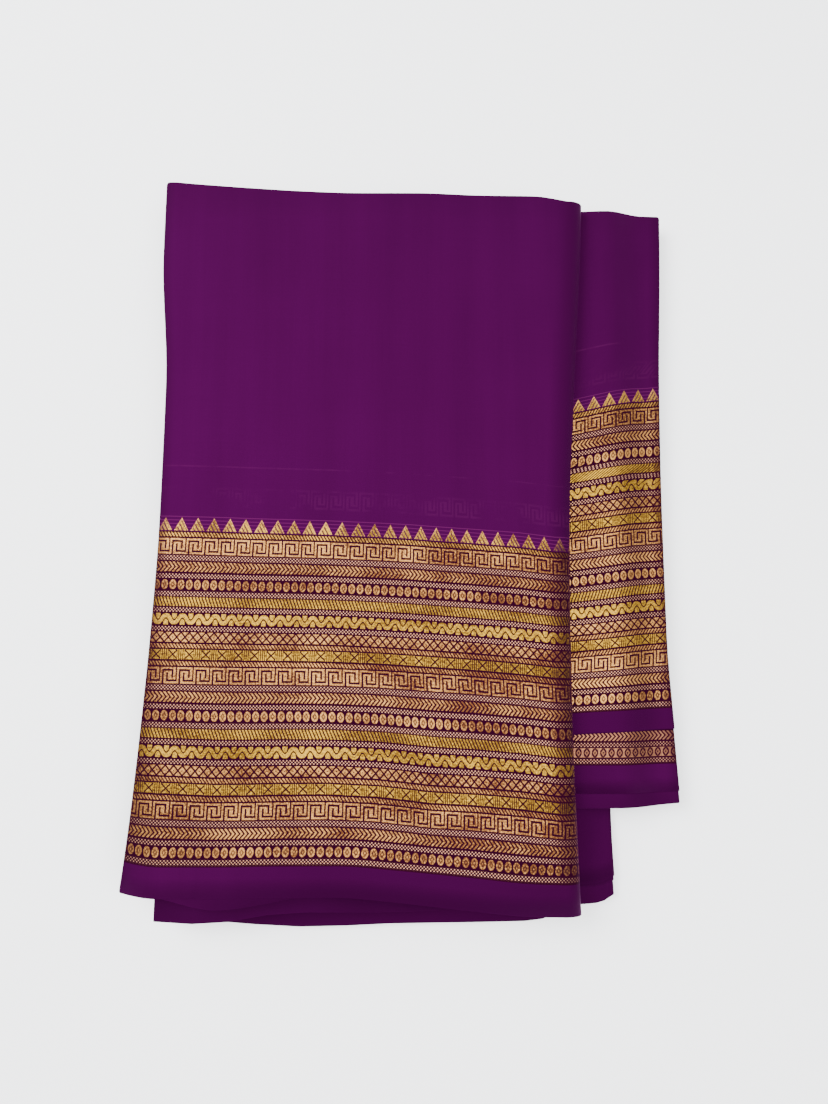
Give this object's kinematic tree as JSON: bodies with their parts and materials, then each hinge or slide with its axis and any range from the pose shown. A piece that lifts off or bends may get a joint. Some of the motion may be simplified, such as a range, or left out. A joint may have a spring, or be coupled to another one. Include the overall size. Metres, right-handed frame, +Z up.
{
  "type": "folded silk sari",
  "caption": "Silk sari with a wide woven border, its width folded in four and its length folded back and forth into a flat stack.",
  "frame": {"origin": "middle of the outline, at the height of the surface that the stack lies on", "axes": "+X to the right across the border, +Y along the top panel away from the border, +Z up out of the top panel"},
  "size_m": [0.2789, 0.3858, 0.029],
  "materials": {
    "silk": "crepe silk with a gold thread border"
  },
  "bodies": {
    "root": {"sari": "silk"}
  },
  "joints": []
}
